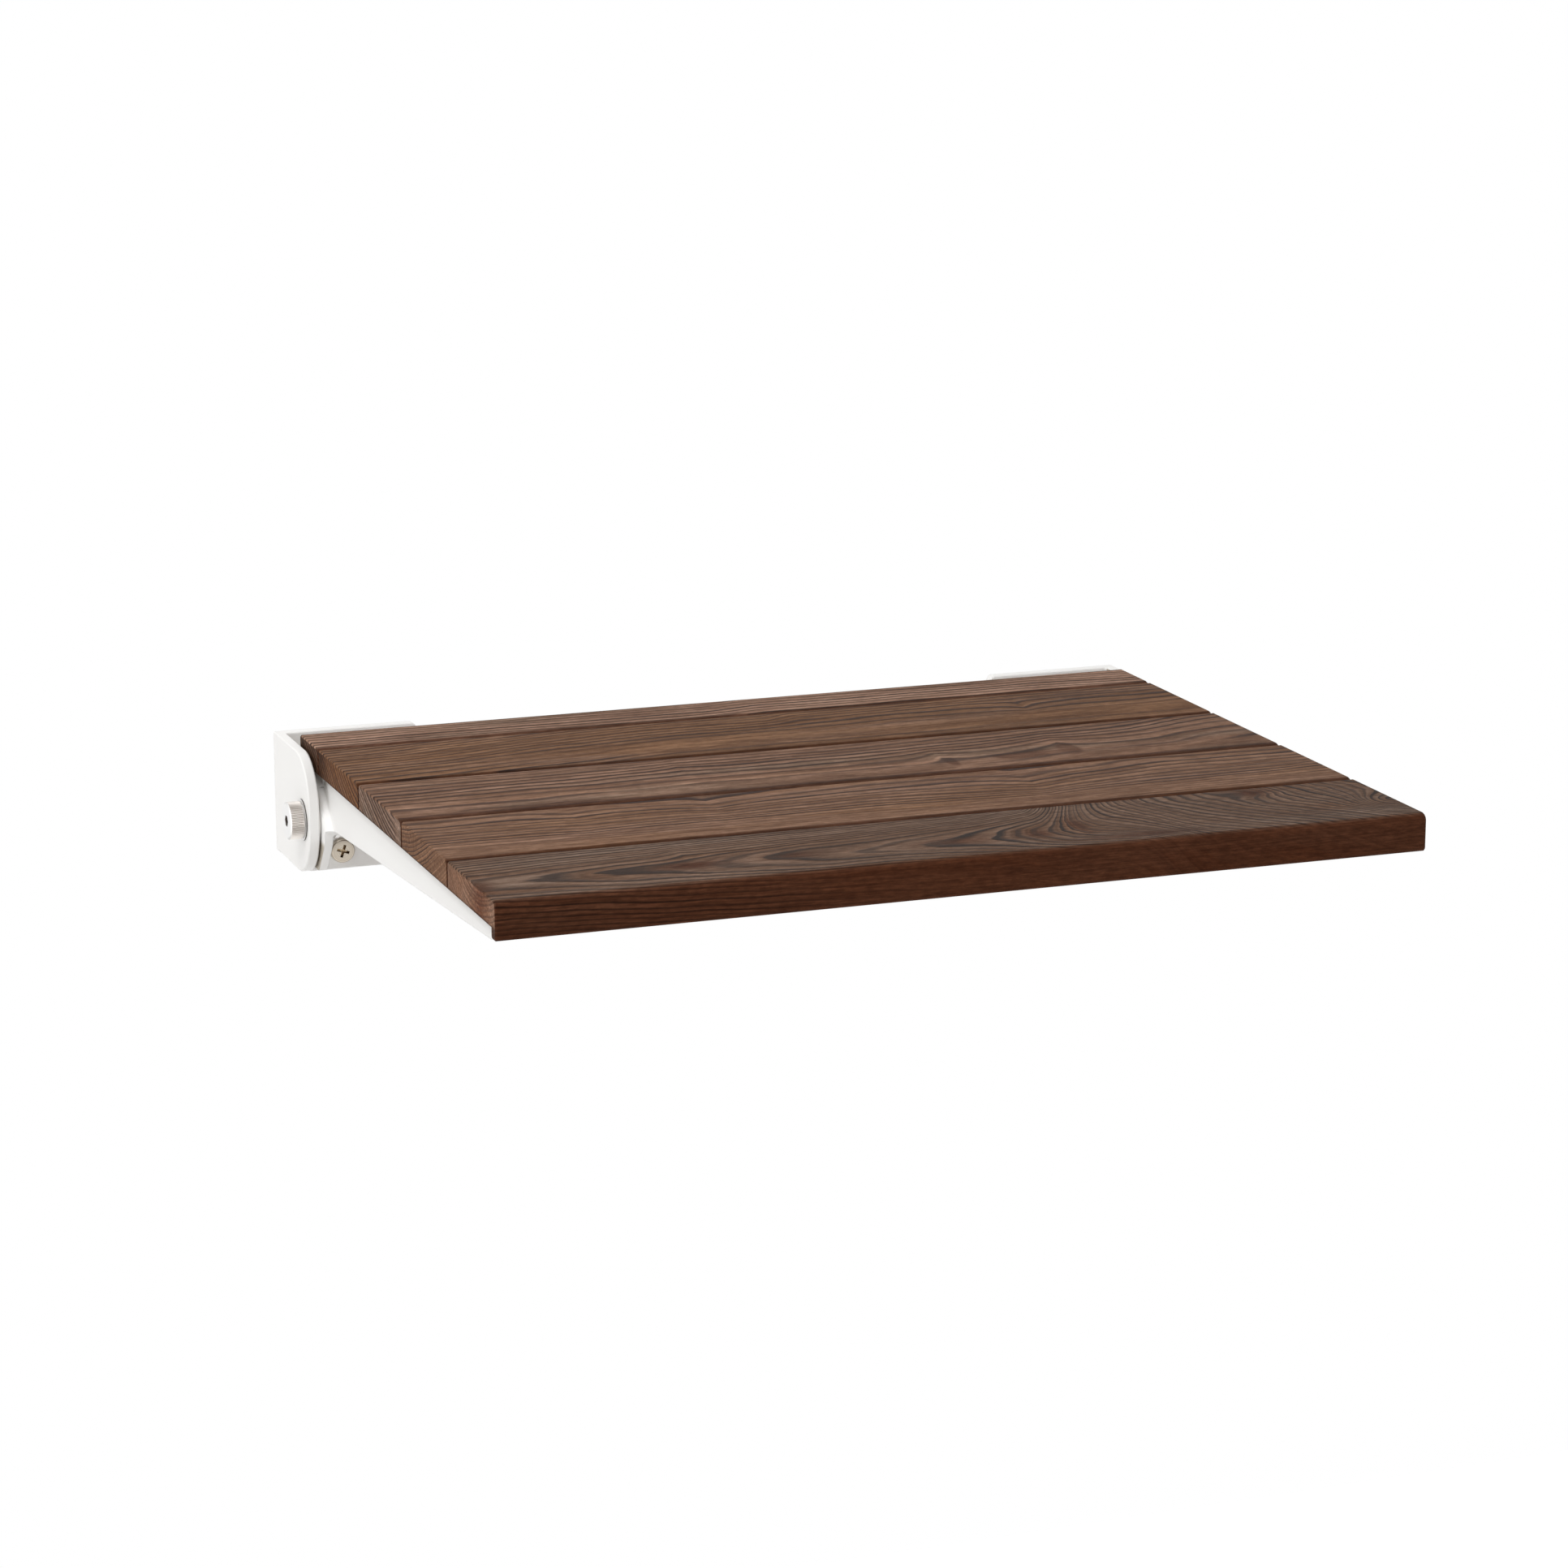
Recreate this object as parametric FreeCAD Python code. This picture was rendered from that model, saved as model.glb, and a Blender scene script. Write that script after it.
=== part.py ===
import FreeCAD, Part
import math
import os
from FreeCAD import Vector

os.makedirs("parts", exist_ok=True)

# Fold down wall seat: five wooden slats on two steel arms, hinged in two steel wall brackets.
# Millimetres. X runs along the wall, -Y stands out into the room and +Z is up. The origin lies
# on the wall, midway between the brackets and at the middle height of their back plates.
# The left side is modelled, and the right side is its mirror image.

# Slats
seat_width = 430.0
slat_thickness = 12.7
rear_slat_depth = 34.2
middle_slat_depth = 72.6
middle_slat_count = 3
front_slat_depth = 70.6
slat_gap = 0.6
slat_front_edge_radius = 3.5
slat_rear_edge_radius = 1.5
slat_under_edge_radius = 1.0
slat_end_edge_break = 0.6
lip_thickness = 5.9
lip_drop = 4.6
lip_corner_radius = 1.8

# Where the seat stands when it is folded down
wall_gap = 26.3
seat_above_plate = 3.7

# Wall brackets
bracket_thickness = 5.0
bracket_inside_radius = 1.4
bracket_edge_break = 0.5
plate_width = 70.0
plate_height = 70.0
plate_corner_radius = 3.0
plate_cutback = 15.0
ear_depth = 66.8
ear_height = 58.5
ear_corner_radius = 24.0
ear_clearance = 1.5

# Wall screws, four to a bracket on a rectangle
wall_screw_diameter = 6.0
wall_screw_reach = 35.0
wall_screw_point = 7.0
wall_screw_neck_diameter = 4.8
wall_screw_neck_past_plate = 0.4
wall_screw_head_diameter = 12.0
wall_screw_head_height = 3.6
wall_screw_top_diameter = 9.2
wall_screw_edge_height = 2.0
wall_screw_edge_distance = 9.5
wall_screw_outer_inset = 31.0
wall_screw_spacing = 29.0
wall_hole_clearance = 0.25
wall_recess_width = 1.3
wall_recess_span = 6.0
wall_recess_depth = 2.2
wall_recess_turn = 18.0

# Pivot: shoulder bolt from outside, bush in the arm, then collar, washer and lock nut inside
pivot_from_ear_front = 13.5
pivot_below_seat = 35.0
shoulder_diameter = 12.0
running_clearance = 0.05
side_play = 0.1
pivot_head_diameter = 18.0
pivot_head_height = 7.2
pivot_head_chamfer = 0.7
pivot_socket_width = 8.0
pivot_socket_depth = 4.0
head_washer_diameter = 20.0
head_washer_thickness = 0.5
thrust_washer_diameter = 24.0
thrust_washer_thickness = 0.9
bush_wall = 1.0
bush_seat_clearance = 0.02
thread_diameter = 10.0
thread_clearance = 0.2
collar_diameter = 16.0
collar_clearance = 0.6
inner_washer_diameter = 20.0
inner_washer_thickness = 2.0
lock_nut_width = 17.0
lock_nut_height = 7.4
lock_nut_chamfer = 0.8
lock_nut_crown_diameter = 14.5
lock_nut_crown_height = 2.6
bolt_end_length = 1.6
bolt_end_chamfer = 1.0

# Arms: a stepped plate with a heel below the pivot and a flange under the slats
arm_thickness = 4.0
arm_step = 4.0
step_slope = 70.0
step_line_angle = 41.1
step_distance = 13.5
step_inside_radius = 1.0
step_outside_radius = 2.5
heel_ahead_of_pivot = 19.5
heel_inside_radius = 1.5
heel_front_height = 17.0
heel_front_radius = 16.0
heel_toe_ahead_of_pivot = 6.0
heel_below_pivot = 24.2
heel_play = 0.1
heel_face_height = 14.0
heel_corner_radius = 3.0
heel_toe_radius = 2.0
lobe_rear_from_wall = 30.8
lobe_rear_radius = 8.0
lobe_clearance = 0.5
arm_rear_drop = 24.0
arm_rise_angle = 3.45
arm_end_gap = 6.0
arm_end_radius = 6.0
flange_width = 25.0
flange_bend_radius = 2.0
flange_bend_from_wall = 56.8
flange_relief = 2.0
flange_tab_inset = 3.0
flange_rear_from_wall = 31.8
flange_corner_radius = 5.0

# Slat screws, from below through the flange
slat_screw_diameter = 4.5
slat_screw_bite = 9.5
slat_screw_point = 3.0
slat_screw_head_diameter = 8.5
slat_screw_head_height = 2.8
slat_screw_top_diameter = 5.6
slat_screw_edge_height = 1.2
slat_screw_inset = 15.0
slat_screw_pitch = 40.0
slat_hole_clearance = 0.3
slat_pilot_clearance = 0.05

# Places worked out from the sizes above
slat_end_x = -seat_width / 2
plate_top = plate_height / 2
ear_bottom = plate_top - ear_height
seat_top = plate_top + seat_above_plate
slat_underside = seat_top - slat_thickness
seat_back_y = -wall_gap
plate_front_y = -bracket_thickness
ear_inner_x = slat_end_x - ear_clearance
ear_outer_x = ear_inner_x - bracket_thickness
plate_end_x = ear_outer_x + plate_width
pivot_y = pivot_from_ear_front - ear_depth
pivot_z = seat_top - pivot_below_seat
lobe_outer_x = ear_inner_x + thrust_washer_thickness + side_play
lobe_inner_x = lobe_outer_x + arm_thickness
web_outer_x = lobe_outer_x + arm_step
web_inner_x = web_outer_x + arm_thickness
shoulder_end_x = lobe_inner_x + side_play
collar_end_x = max(web_inner_x, shoulder_end_x) + collar_clearance
inner_washer_end_x = collar_end_x + inner_washer_thickness
bush_diameter = shoulder_diameter + 2 * running_clearance + 2 * bush_wall


def outline(corners, place):
    """Closed wire through corners (a, b, radius), each corner rounded by its radius."""
    starts = []
    edges = []
    ends = []
    for index, (a, b, radius) in enumerate(corners):
        corner = place(a, b)
        if radius == 0:
            starts.append(corner)
            ends.append(corner)
            edges.append(None)
            continue
        before = place(*corners[index - 1][:2])
        after = place(*corners[(index + 1) % len(corners)][:2])
        back = (before - corner).normalize()
        ahead = (after - corner).normalize()
        half_angle = back.getAngle(ahead) / 2
        inward = (back + ahead).normalize()
        middle = corner + inward * (radius / math.sin(half_angle) - radius)
        starts.append(corner + back * (radius / math.tan(half_angle)))
        ends.append(corner + ahead * (radius / math.tan(half_angle)))
        edges.append(Part.Arc(starts[-1], middle, ends[-1]).toShape())
    pieces = []
    for index in range(len(corners)):
        if edges[index]:
            pieces.append(edges[index])
        next_start = starts[(index + 1) % len(corners)]
        if ends[index].distanceToPoint(next_start) > 1e-6:
            pieces.append(Part.LineSegment(ends[index], next_start).toShape())
    return Part.Wire(pieces)


def side_slab(corners, x_start, x_end):
    """Outline drawn in Y and Z, made a slab between two X planes."""
    wire = outline(corners, lambda y, z: Vector(x_start, y, z))
    return Part.Face(wire).extrude(Vector(x_end - x_start, 0, 0))


def plan_slab(corners, z_start, z_end):
    """Outline drawn in X and Y, made a slab between two heights."""
    wire = outline(corners, lambda x, y: Vector(x, y, z_start))
    return Part.Face(wire).extrude(Vector(0, 0, z_end - z_start))


def front_slab(corners, y_start, y_end):
    """Outline drawn in X and Z, made a slab between two Y planes."""
    wire = outline(corners, lambda x, z: Vector(x, y_start, z))
    return Part.Face(wire).extrude(Vector(0, y_end - y_start, 0))


def pivot_rod(diameter, x_start, x_end):
    """Round bar on the pivot axis."""
    start = Vector(x_start, pivot_y, pivot_z)
    return Part.makeCylinder(diameter / 2, x_end - x_start, start, Vector(1, 0, 0))


def pivot_ring(outer_diameter, inner_diameter, x_start, x_end):
    """Washer, bush or collar round the pivot axis."""
    hole = pivot_rod(inner_diameter, x_start - 1, x_end + 1)
    return pivot_rod(outer_diameter, x_start, x_end).cut(hole)


def pivot_hexagon(width, x_start, x_end):
    """Six-sided bar on the pivot axis, with a corner at the top."""
    corner_radius = width / math.sqrt(3)
    corners = []
    for step in range(6):
        angle = math.radians(60 * step)
        y = pivot_y + corner_radius * math.sin(angle)
        z = pivot_z + corner_radius * math.cos(angle)
        corners.append((y, z, 0))
    return side_slab(corners, x_start, x_end)


def pan_head_screw(seat, along, shank, head, neck=None):
    """Pan-head screw from the middle of the face under its head: shank is (diameter, length,
    point length), head is (diameter, height, top diameter, edge height) and neck is the plain
    stretch before the thread, as (diameter, length), where the screw has one."""
    shank_diameter, shank_length, point_length = shank
    head_diameter, head_height, top_diameter, edge_height = head
    profile = [
        (0, -head_height),
        (top_diameter / 2, -head_height),
        (head_diameter / 2, -edge_height),
        (head_diameter / 2, 0),
    ]
    if neck:
        neck_diameter, neck_length = neck
        profile += [(neck_diameter / 2, 0), (neck_diameter / 2, neck_length)]
        profile += [(shank_diameter / 2, neck_length)]
    else:
        profile += [(shank_diameter / 2, 0)]
    profile += [(shank_diameter / 2, shank_length - point_length), (0, shank_length)]
    points = [Vector(radius, 0, height) for radius, height in profile]
    wire = Part.makePolygon(points + [points[0]])
    screw = Part.Face(wire).revolve(Vector(0, 0, 0), Vector(0, 0, 1), 360)
    screw.Placement = FreeCAD.Placement(seat, FreeCAD.Rotation(Vector(0, 0, 1), along))
    return screw


def cross_recess(top, along, width, span, depth, first_turn):
    """Cross for a screwdriver, sunk from the middle of a screw head's top."""
    bars = []
    for turn in (first_turn, first_turn + 90):
        bar = Part.makeBox(span, width, depth + 1, Vector(-span / 2, -width / 2, -1))
        bar.rotate(Vector(0, 0, 0), Vector(0, 0, 1), turn)
        bars.append(bar)
    cross = bars[0].fuse(bars[1]).removeSplitter()
    cross.Placement = FreeCAD.Placement(top, FreeCAD.Rotation(Vector(0, 0, 1), along))
    return cross


def is_circle_round(edge, centre):
    """True for a whole circular edge whose centre is at the given point."""
    return edge.isClosed() and edge.CenterOfMass.distanceToPoint(centre) < 1e-6


# Wall bracket: ear towards the room on a back plate with four screw holes, rounded where they meet
def wall_screw_places():
    outer_column = ear_outer_x + wall_screw_outer_inset
    upper_row = plate_top - wall_screw_edge_distance
    columns = (outer_column, outer_column + wall_screw_spacing)
    return [(x, z) for x in columns for z in (upper_row, -upper_row)]


def make_wall_bracket():
    fillet_end_x = ear_inner_x + bracket_inside_radius
    angle = plan_slab(
        [
            (ear_outer_x, 0, 0),
            (ear_outer_x, -ear_depth, 0),
            (ear_inner_x, -ear_depth, 0),
            (ear_inner_x, plate_front_y, bracket_inside_radius),
            (plate_end_x, plate_front_y, 0),
            (plate_end_x, 0, 0),
        ],
        -plate_top,
        plate_top,
    )
    ear_blank = side_slab(
        [
            (0, plate_top, 0),
            (-ear_depth, plate_top, ear_corner_radius),
            (-ear_depth, ear_bottom, ear_corner_radius),
            (0, ear_bottom, 0),
        ],
        ear_outer_x,
        fillet_end_x,
    )
    plate_blank = front_slab(
        [
            (ear_outer_x, plate_top, 0),
            (plate_end_x, plate_top, plate_corner_radius),
            (plate_end_x, -plate_top, plate_corner_radius),
            (ear_outer_x + plate_cutback, -plate_top, plate_corner_radius),
            (ear_outer_x, ear_bottom, 0),
        ],
        plate_front_y,
        0,
    )
    bracket = angle.common(ear_blank.fuse(plate_blank)).removeSplitter()

    for is_rim in (is_outside_rim, is_inside_rim):
        rim = [edge for edge in bracket.Edges if is_rim(edge)]
        bracket = bracket.makeChamfer(bracket_edge_break, rim)
    bolt_hole_diameter = shoulder_diameter + 2 * running_clearance
    bracket = bracket.cut(pivot_rod(bolt_hole_diameter, ear_outer_x - 1, ear_inner_x + 1))
    for x, z in wall_screw_places():
        radius = wall_screw_diameter / 2 + wall_hole_clearance
        hole = Part.makeCylinder(radius, bracket_thickness + 2, Vector(x, 1, z), Vector(0, -1, 0))
        bracket = bracket.cut(hole)
    return bracket


def is_outside_rim(edge):
    """True for the edges round the outer face of the ear, but not for its corner at the wall."""
    box = edge.BoundBox
    return box.XMax < ear_outer_x + 1e-6 and box.YMin < plate_front_y - 1


def is_inside_rim(edge):
    """True for the edges round the ear's inner face and the plate's front, up to their fillet."""
    box = edge.BoundBox
    on_ear = box.XLength < 1e-6 and abs(box.XMax - ear_inner_x) < 1e-6
    on_plate = box.YLength < 1e-6 and abs(box.YMax - plate_front_y) < 1e-6
    beside_fillet_y = plate_front_y - bracket_inside_radius - 1e-3
    beside_fillet_x = ear_inner_x + bracket_inside_radius + 1e-3
    return (on_ear and box.YMin < beside_fillet_y) or (on_plate and box.XMax > beside_fillet_x)


# Wall screws
def make_wall_screws():
    into_wall = Vector(0, 1, 0)
    head = (
        wall_screw_head_diameter,
        wall_screw_head_height,
        wall_screw_top_diameter,
        wall_screw_edge_height,
    )
    shank = (wall_screw_diameter, bracket_thickness + wall_screw_reach, wall_screw_point)
    neck = (wall_screw_neck_diameter, bracket_thickness + wall_screw_neck_past_plate)
    screws = []
    for x, z in wall_screw_places():
        seat = Vector(x, plate_front_y, z)
        screw = pan_head_screw(seat, into_wall, shank, head, neck)
        top = seat - into_wall * wall_screw_head_height
        size = (wall_recess_width, wall_recess_span, wall_recess_depth)
        screws.append(screw.cut(cross_recess(top, into_wall, *size, wall_recess_turn)))
    return Part.makeCompound(screws)


# Pivot bolt: round head with a socket, shoulder through ear and bush, threaded end
def make_pivot_bolt():
    head_inner_x = ear_outer_x - head_washer_thickness
    head_outer_x = head_inner_x - pivot_head_height
    nut_end_x = inner_washer_end_x + lock_nut_height + lock_nut_crown_height
    bolt_end_x = nut_end_x + bolt_end_length
    head = pivot_rod(pivot_head_diameter, head_outer_x, head_inner_x)
    head = head.makeChamfer(pivot_head_chamfer, [edge_ring(head, head_outer_x)])
    socket = pivot_hexagon(pivot_socket_width, head_outer_x - 1, head_outer_x + pivot_socket_depth)
    shoulder = pivot_rod(shoulder_diameter, head_inner_x, shoulder_end_x)
    thread = pivot_rod(thread_diameter, shoulder_end_x, bolt_end_x)
    thread = thread.makeChamfer(bolt_end_chamfer, [edge_ring(thread, bolt_end_x)])
    return head.fuse([shoulder, thread]).removeSplitter().cut(socket)


def edge_ring(solid, x):
    """The circular edge of a bar on the pivot axis at the given X."""
    centre = Vector(x, pivot_y, pivot_z)
    return [edge for edge in solid.Edges if is_circle_round(edge, centre)][0]


# Washers, bush and collar on the bolt
def make_head_washer():
    outer_x = ear_outer_x - head_washer_thickness
    hole_diameter = shoulder_diameter + 2 * running_clearance
    return pivot_ring(head_washer_diameter, hole_diameter, outer_x, ear_outer_x)


def make_thrust_washer():
    inner_x = ear_inner_x + thrust_washer_thickness
    hole_diameter = shoulder_diameter + 2 * running_clearance
    return pivot_ring(thrust_washer_diameter, hole_diameter, ear_inner_x, inner_x)


def make_pivot_bush():
    hole_diameter = shoulder_diameter + 2 * running_clearance
    return pivot_ring(bush_diameter, hole_diameter, lobe_outer_x, lobe_inner_x)


def make_pivot_collar():
    hole_diameter = thread_diameter + 2 * thread_clearance
    return pivot_ring(collar_diameter, hole_diameter, shoulder_end_x, collar_end_x)


def make_inner_washer():
    hole_diameter = thread_diameter + 2 * thread_clearance
    return pivot_ring(inner_washer_diameter, hole_diameter, collar_end_x, inner_washer_end_x)


# Lock nut: hexagon with chamfered corners and a round crown that holds the locking ring
def make_lock_nut():
    hexagon_end_x = inner_washer_end_x + lock_nut_height
    crown_end_x = hexagon_end_x + lock_nut_crown_height
    hexagon = pivot_hexagon(lock_nut_width, inner_washer_end_x, hexagon_end_x)
    across_corners = lock_nut_width * 2 / math.sqrt(3)
    blank = pivot_rod(across_corners, inner_washer_end_x, hexagon_end_x)
    blank = blank.makeChamfer(lock_nut_chamfer, [edge_ring(blank, hexagon_end_x)])
    crown = pivot_rod(lock_nut_crown_diameter, hexagon_end_x, crown_end_x)
    crown = crown.makeChamfer(lock_nut_chamfer, [edge_ring(crown, crown_end_x)])
    nut = hexagon.common(blank).fuse(crown).removeSplitter()
    return nut.cut(pivot_rod(thread_diameter, inner_washer_end_x - 1, crown_end_x + 1))


# Slats: long edges rounded on top, the front slat with a lip that hides the arm ends
def slat_spans():
    """Rear and front Y of each slat, from the wall to the front."""
    depths = [rear_slat_depth] + [middle_slat_depth] * middle_slat_count + [front_slat_depth]
    spans = []
    rear_y = seat_back_y
    for depth in depths:
        spans.append((rear_y, rear_y - depth))
        rear_y = rear_y - depth - slat_gap
    return spans


def slat_screw_places(rear_y, front_y):
    """X and Y of the left screws of a slat: one in the narrow rear slat, two in the others."""
    x = web_outer_x + slat_screw_inset
    middle_y = (rear_y + front_y) / 2
    if rear_y == seat_back_y:
        return [(x, middle_y)]
    return [(x, middle_y + slat_screw_pitch / 2), (x, middle_y - slat_screw_pitch / 2)]


def make_slat(rear_y, front_y, has_lip):
    top_edges = [(rear_y, seat_top, slat_rear_edge_radius), (front_y, seat_top, slat_front_edge_radius)]
    under_edges = [(front_y, slat_underside, slat_under_edge_radius)]
    if has_lip:
        lip_bottom = slat_underside - lip_drop
        lip_rear_y = front_y + lip_thickness
        under_edges = [
            (front_y, lip_bottom, lip_corner_radius),
            (lip_rear_y, lip_bottom, lip_corner_radius),
            (lip_rear_y, slat_underside, 0),
        ]
    corners = top_edges + under_edges + [(rear_y, slat_underside, slat_under_edge_radius)]
    slat = side_slab(corners, slat_end_x, -slat_end_x)
    end_edges = [edge for edge in slat.Edges if edge.BoundBox.XLength < 1e-6]
    slat = slat.makeChamfer(slat_end_edge_break, end_edges)
    for x, y in slat_screw_places(rear_y, front_y):
        for side in (1, -1):
            slat = slat.cut(slat_pilot_hole(side * x, y))
    return slat


def slat_pilot_hole(x, y):
    radius = slat_screw_diameter / 2 + slat_pilot_clearance
    start = Vector(x, y, slat_underside - 1)
    return Part.makeCylinder(radius, slat_screw_bite + slat_pilot_clearance + 1, start, Vector(0, 0, 1))


# Arm: plate stepped outwards beside the ear, with the heel, and bent over under the slats
def make_arm():
    bend_outside = flange_bend_radius + arm_thickness
    flange_under = slat_underside - arm_thickness
    web_top = slat_underside - bend_outside
    flange_end_x = web_outer_x + flange_width
    bend_start_y = -flange_bend_from_wall
    relief_rear_y = bend_start_y + flange_relief
    relief_bottom = web_top - flange_relief / 2
    arm_front_y = slat_spans()[-1][1] + lip_thickness + arm_end_gap
    heel_front_y = pivot_y - heel_ahead_of_pivot
    heel_toe_y = pivot_y - heel_toe_ahead_of_pivot
    heel_rear_y = plate_front_y - heel_play
    heel_bottom = pivot_z - heel_below_pivot
    arm_bottom_rear = slat_underside - arm_rear_drop
    rise = math.tan(math.radians(arm_rise_angle))
    arm_bottom_front = arm_bottom_rear + (heel_front_y - arm_front_y) * rise
    arm_bottom_at_bend = arm_bottom_rear + (heel_front_y - bend_start_y) * rise

    lobe = side_slab(
        [
            (relief_rear_y, slat_underside - lobe_clearance, 1),
            (-lobe_rear_from_wall, slat_underside - lobe_clearance, lobe_rear_radius),
            (heel_rear_y, heel_bottom + heel_face_height, heel_corner_radius),
            (heel_rear_y, heel_bottom, heel_corner_radius),
            (heel_toe_y, heel_bottom, heel_toe_radius),
            (heel_front_y, heel_bottom + heel_front_height, heel_front_radius),
            (heel_front_y, relief_bottom, 0),
            (relief_rear_y, relief_bottom, 0),
        ],
        lobe_outer_x - 1,
        web_inner_x + 1,
    )
    web = side_slab(
        [
            (bend_start_y, web_top, 0),
            (bend_start_y, arm_bottom_at_bend, 0),
            (arm_front_y, arm_bottom_front, arm_end_radius),
            (arm_front_y, slat_underside + bend_outside, 0),
            (bend_start_y, slat_underside + bend_outside, 0),
        ],
        lobe_outer_x - 1,
        flange_end_x + 1,
    )
    below_bend = side_slab(
        [
            (bend_start_y, web_top, 0),
            (bend_start_y, heel_bottom, 0),
            (arm_front_y - 1, heel_bottom, 0),
            (arm_front_y - 1, web_top, 0),
        ],
        lobe_outer_x - 1,
        flange_end_x + 1,
    )
    silhouette = lobe.fuse(web.common(below_bend)).removeSplitter()
    inside_corner = [edge for edge in silhouette.Edges if is_heel_corner(edge, heel_front_y)]
    silhouette = silhouette.makeFillet(heel_inside_radius, inside_corner)

    stepped_plate = make_stepped_plate(arm_front_y)
    flange_profile = front_slab(
        [
            (web_outer_x, web_top, 0),
            (web_outer_x, slat_underside, bend_outside),
            (flange_end_x, slat_underside, 0),
            (flange_end_x, flange_under, 0),
            (web_inner_x, flange_under, flange_bend_radius),
            (web_inner_x, web_top, 0),
        ],
        bend_start_y,
        arm_front_y,
    )
    tab = plan_slab(
        [
            (web_inner_x + flange_tab_inset, bend_start_y, 0),
            (web_inner_x + flange_tab_inset, -flange_rear_from_wall, flange_corner_radius),
            (flange_end_x, -flange_rear_from_wall, flange_corner_radius),
            (flange_end_x, bend_start_y, 0),
        ],
        flange_under,
        slat_underside,
    )
    front_corner = plan_slab(
        [
            (lobe_outer_x - 1, bend_start_y, 0),
            (lobe_outer_x - 1, arm_front_y, 0),
            (flange_end_x, arm_front_y, flange_corner_radius),
            (flange_end_x, bend_start_y, 0),
        ],
        heel_bottom,
        slat_underside,
    )
    flange = flange_profile.common(web).common(front_corner)
    arm = stepped_plate.common(silhouette).fuse([flange, tab]).removeSplitter()

    bore_diameter = bush_diameter + 2 * bush_seat_clearance
    arm = arm.cut(pivot_rod(bore_diameter, lobe_outer_x - 1, lobe_inner_x + 1))
    for rear_y, front_y in slat_spans():
        for x, y in slat_screw_places(rear_y, front_y):
            radius = slat_screw_diameter / 2 + slat_hole_clearance
            start = Vector(x, y, flange_under - 1)
            arm = arm.cut(Part.makeCylinder(radius, arm_thickness + 2, start, Vector(0, 0, 1)))
    return arm


def make_stepped_plate(arm_front_y):
    """Plate whose front part is stepped inwards along a line that leans over the pivot."""
    step_angle = math.radians(step_line_angle)
    along = Vector(0, -math.cos(step_angle), -math.sin(step_angle))
    across = Vector(0, -math.sin(step_angle), math.cos(step_angle))
    slope = math.radians(step_slope)
    run = arm_step / math.tan(slope)
    inner_shift = arm_thickness * math.tan(slope / 2)
    reach = 2 * abs(arm_front_y)
    start = Vector(0, pivot_y, pivot_z) - along * reach

    def place(distance, x):
        return start + across * distance + Vector(x, 0, 0)

    profile = outline(
        [
            (-reach, lobe_outer_x, 0),
            (step_distance - run, lobe_outer_x, step_outside_radius),
            (step_distance, web_outer_x, step_inside_radius),
            (reach, web_outer_x, 0),
            (reach, web_inner_x, 0),
            (step_distance - inner_shift, web_inner_x, step_outside_radius),
            (step_distance - inner_shift - run, lobe_inner_x, step_inside_radius),
            (-reach, lobe_inner_x, 0),
        ],
        place,
    )
    return Part.Face(profile).extrude(along * (2 * reach))


def is_heel_corner(edge, heel_front_y):
    """True for the edge across the plate where the heel meets the lower edge of the arm."""
    box = edge.BoundBox
    along_x = box.YLength < 1e-6 and box.ZLength < 1e-6
    return along_x and abs(box.YMin - heel_front_y) < 1 and box.ZMin < pivot_z


# Slat screws, from below
def make_slat_screws():
    seat_z = slat_underside - arm_thickness
    shank = (slat_screw_diameter, arm_thickness + slat_screw_bite, slat_screw_point)
    head = (
        slat_screw_head_diameter,
        slat_screw_head_height,
        slat_screw_top_diameter,
        slat_screw_edge_height,
    )
    screws = []
    for rear_y, front_y in slat_spans():
        for x, y in slat_screw_places(rear_y, front_y):
            seat = Vector(x, y, seat_z)
            screws.append(pan_head_screw(seat, Vector(0, 0, 1), shank, head))
    return Part.makeCompound(screws)


# Every piece of the left side, then its mirror image on the right, then the slats
side_pieces = {
    "wall_bracket": make_wall_bracket(),
    "wall_screws": make_wall_screws(),
    "pivot_bolt": make_pivot_bolt(),
    "head_washer": make_head_washer(),
    "thrust_washer": make_thrust_washer(),
    "pivot_bush": make_pivot_bush(),
    "pivot_collar": make_pivot_collar(),
    "inner_washer": make_inner_washer(),
    "lock_nut": make_lock_nut(),
    "arm": make_arm(),
    "slat_screws": make_slat_screws(),
}

pieces = {}
for name, shape in side_pieces.items():
    pieces["left_" + name] = shape
    pieces["right_" + name] = shape.mirror(Vector(0, 0, 0), Vector(1, 0, 0))

spans = slat_spans()
for number, (rear_y, front_y) in enumerate(spans, start=1):
    pieces["slat_" + str(number)] = make_slat(rear_y, front_y, number == len(spans))

for name, shape in pieces.items():
    shape.exportStep("parts/" + name + ".step")
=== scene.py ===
import math
import bpy
from mathutils import Matrix, Vector


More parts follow.
